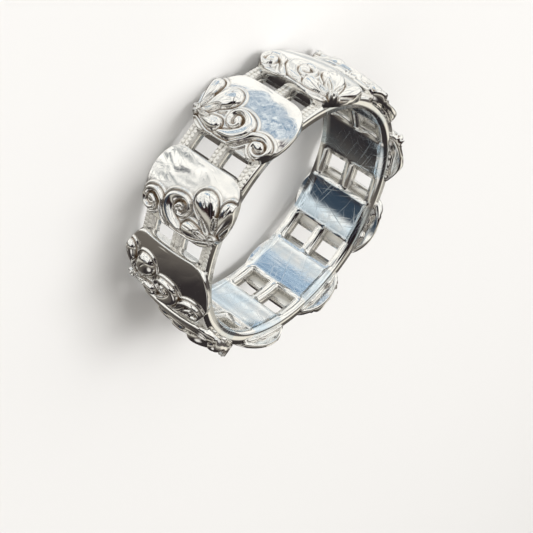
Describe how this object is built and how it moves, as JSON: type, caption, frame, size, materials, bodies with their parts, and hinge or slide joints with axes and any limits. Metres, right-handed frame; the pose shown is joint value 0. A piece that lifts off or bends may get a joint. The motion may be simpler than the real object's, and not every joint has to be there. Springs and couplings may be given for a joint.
{
  "type": "band ring",
  "caption": "Polished silver band ring: a pierced inner band under domed plates with raised scrolls and flowers, joined by narrow beaded bars.",
  "frame": {"origin": "middle of the finger hole, on its axis and halfway along the band", "axes": "+Z along the finger hole, up as the ring lies on its side; -Y through the middle of the gap between two plates"},
  "size_m": [0.0222, 0.0222, 0.0074],
  "materials": {
    "silver": "polished sterling silver"
  },
  "bodies": {
    "root": {"band_ring": "silver"}
  },
  "joints": []
}
